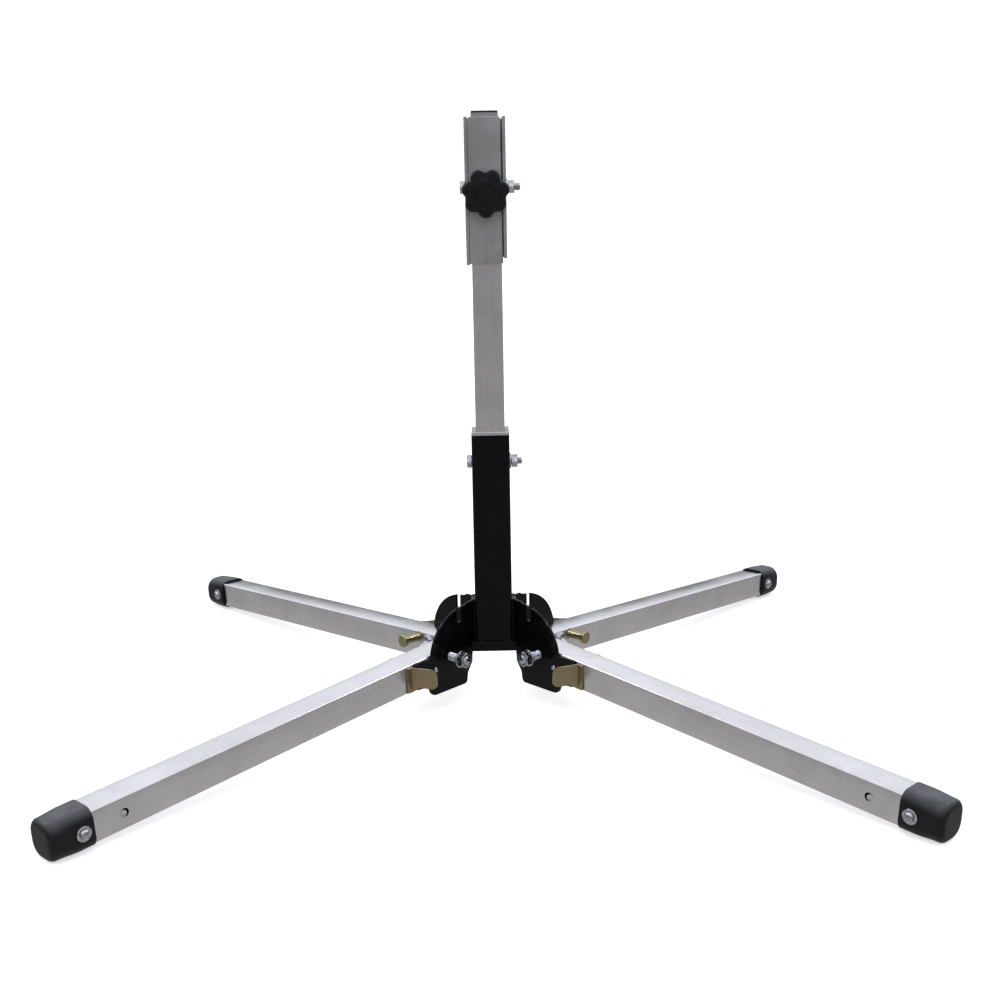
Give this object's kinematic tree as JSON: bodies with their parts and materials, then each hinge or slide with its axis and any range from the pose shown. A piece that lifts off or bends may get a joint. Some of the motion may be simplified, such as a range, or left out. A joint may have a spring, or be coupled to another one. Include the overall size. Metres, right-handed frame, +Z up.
{
  "type": "batting tee base",
  "caption": "Folding cross-leg base of a batting tee: square mast in a post, sliding stem held by a star knob, hinged legs with latches and rubber feet",
  "frame": {"origin": "on the ground under the centre post", "axes": "+Z up along the mast, the knob faces -Y, the cross bolts' nuts are on +X"},
  "size_m": [0.8124, 0.7828, 0.6424],
  "materials": {
    "zinc_tube": "satin zinc plate",
    "zinc_plate": "dull zinc plate with faint streaks",
    "black_coat": "semi-gloss black powder coat",
    "bright_zinc": "bright zinc plate",
    "yellow_zinc": "yellow passivated zinc on steel",
    "rubber": "matt",
    "knob_plastic": "fine moulded texture",
    "plug_plastic": "matt"
  },
  "bodies": {
    "base": {"centre_post": "black_coat", "mast_tube": "zinc_tube", "clamp_channel": "zinc_plate", "clamp_plate": "zinc_plate", "clamp_bolt": "bright_zinc", "clamp_washer": "bright_zinc", "clamp_nut": "bright_zinc", "post_bolt": "bright_zinc", "post_washer": "bright_zinc", "post_nut": "bright_zinc", "left_bracket": "black_coat", "right_bracket": "black_coat", "post_liner": "zinc_tube", "front_strap": "black_coat", "rear_strap": "black_coat", "front_left_pivot_bolt": "bright_zinc", "front_left_pivot_washer": "bright_zinc", "front_left_pivot_nut": "bright_zinc", "front_left_stop_rivet": "bright_zinc", "front_right_pivot_bolt": "bright_zinc", "front_right_pivot_washer": "bright_zinc", "front_right_pivot_nut": "bright_zinc", "front_right_stop_rivet": "bright_zinc", "rear_left_pivot_bolt": "bright_zinc", "rear_left_pivot_washer": "bright_zinc", "rear_left_pivot_nut": "bright_zinc", "rear_left_stop_rivet": "bright_zinc", "rear_right_pivot_bolt": "bright_zinc", "rear_right_pivot_washer": "bright_zinc", "rear_right_pivot_nut": "bright_zinc", "rear_right_stop_rivet": "bright_zinc"},
    "stem": {"stem_tube": "zinc_tube", "stem_plug": "plug_plastic"},
    "knob": {"knob": "knob_plastic", "clamp_stud": "bright_zinc"},
    "front_left_leg": {"front_left_leg_tube": "zinc_tube", "front_left_foot_cap": "rubber", "front_left_foot_screw": "bright_zinc", "front_left_foot_washer": "bright_zinc"},
    "front_left_latch": {"front_left_latch_plate": "yellow_zinc"},
    "front_left_pin": {"front_left_latch_pin": "yellow_zinc"},
    "front_right_leg": {"front_right_leg_tube": "zinc_tube", "front_right_foot_cap": "rubber", "front_right_foot_screw": "bright_zinc", "front_right_foot_washer": "bright_zinc"},
    "front_right_latch": {"front_right_latch_plate": "yellow_zinc"},
    "front_right_pin": {"front_right_latch_pin": "yellow_zinc"},
    "rear_left_leg": {"rear_left_leg_tube": "zinc_tube", "rear_left_foot_cap": "rubber", "rear_left_foot_screw": "bright_zinc", "rear_left_foot_washer": "bright_zinc"},
    "rear_left_latch": {"rear_left_latch_plate": "yellow_zinc"},
    "rear_left_pin": {"rear_left_latch_pin": "yellow_zinc"},
    "rear_right_leg": {"rear_right_leg_tube": "zinc_tube", "rear_right_foot_cap": "rubber", "rear_right_foot_screw": "bright_zinc", "rear_right_foot_washer": "bright_zinc"},
    "rear_right_latch": {"rear_right_latch_plate": "yellow_zinc"},
    "rear_right_pin": {"rear_right_latch_pin": "yellow_zinc"}
  },
  "joints": [
    {"name": "stem_height", "type": "slide", "parent": "base", "child": "stem", "axis": [0, 0, 1], "range_m": [0, 0.19]},
    {"name": "knob_turn", "type": "hinge", "parent": "base", "child": "knob", "pos_m": [0, -0.03, 0.5588], "axis": [0, -1, 0], "continuous": true},
    {"name": "front_left_fold", "type": "hinge", "parent": "base", "child": "front_left_leg", "pos_m": [-0.06274, -0.0249, 0.0587], "axis": [-0.7314, 0.682, 0], "range_deg": [0, 93]},
    {"name": "front_left_latch_press", "type": "hinge", "parent": "front_left_leg", "child": "front_left_latch", "pos_m": [-0.09012, -0.07799, 0.0474], "axis": [0, 0, 1], "range_deg": [0, 10], "stiffness_Nm_per_rad": 0.8, "springref_deg": -6.88},
    {"name": "front_left_pin_draw", "type": "slide", "parent": "front_left_leg", "child": "front_left_pin", "axis": [-0.7314, 0.682, 0], "range_m": [0, 0.0035]},
    {"name": "front_right_fold", "type": "hinge", "parent": "base", "child": "front_right_leg", "pos_m": [0.06274, -0.0249, 0.0587], "axis": [-0.7314, -0.682, 0], "range_deg": [0, 93]},
    {"name": "front_right_latch_press", "type": "hinge", "parent": "front_right_leg", "child": "front_right_latch", "pos_m": [0.09012, -0.07799, 0.0474], "axis": [0, 0, -1], "range_deg": [0, 10], "stiffness_Nm_per_rad": 0.8, "springref_deg": -6.88},
    {"name": "front_right_pin_draw", "type": "slide", "parent": "front_right_leg", "child": "front_right_pin", "axis": [0.7314, 0.682, 0], "range_m": [0, 0.0035]},
    {"name": "rear_left_fold", "type": "hinge", "parent": "base", "child": "rear_left_leg", "pos_m": [-0.06274, 0.0249, 0.0587], "axis": [0.7314, 0.682, 0], "range_deg": [0, 93]},
    {"name": "rear_left_latch_press", "type": "hinge", "parent": "rear_left_leg", "child": "rear_left_latch", "pos_m": [-0.09012, 0.07799, 0.0474], "axis": [0, 0, -1], "range_deg": [0, 10], "stiffness_Nm_per_rad": 0.8, "springref_deg": -6.88},
    {"name": "rear_left_pin_draw", "type": "slide", "parent": "rear_left_leg", "child": "rear_left_pin", "axis": [-0.7314, -0.682, 0], "range_m": [0, 0.0035]},
    {"name": "rear_right_fold", "type": "hinge", "parent": "base", "child": "rear_right_leg", "pos_m": [0.06274, 0.0249, 0.0587], "axis": [0.7314, -0.682, 0], "range_deg": [0, 93]},
    {"name": "rear_right_latch_press", "type": "hinge", "parent": "rear_right_leg", "child": "rear_right_latch", "pos_m": [0.09012, 0.07799, 0.0474], "axis": [0, 0, 1], "range_deg": [0, 10], "stiffness_Nm_per_rad": 0.8, "springref_deg": -6.88},
    {"name": "rear_right_pin_draw", "type": "slide", "parent": "rear_right_leg", "child": "rear_right_pin", "axis": [0.7314, -0.682, 0], "range_m": [0, 0.0035]}
  ],
  "couplings": [
    {"joint": "front_left_pin_draw", "follows": "front_left_latch_press", "m_per_rad": 0.02},
    {"joint": "front_right_pin_draw", "follows": "front_right_latch_press", "m_per_rad": 0.02},
    {"joint": "rear_left_pin_draw", "follows": "rear_left_latch_press", "m_per_rad": 0.02},
    {"joint": "rear_right_pin_draw", "follows": "rear_right_latch_press", "m_per_rad": 0.02}
  ]
}
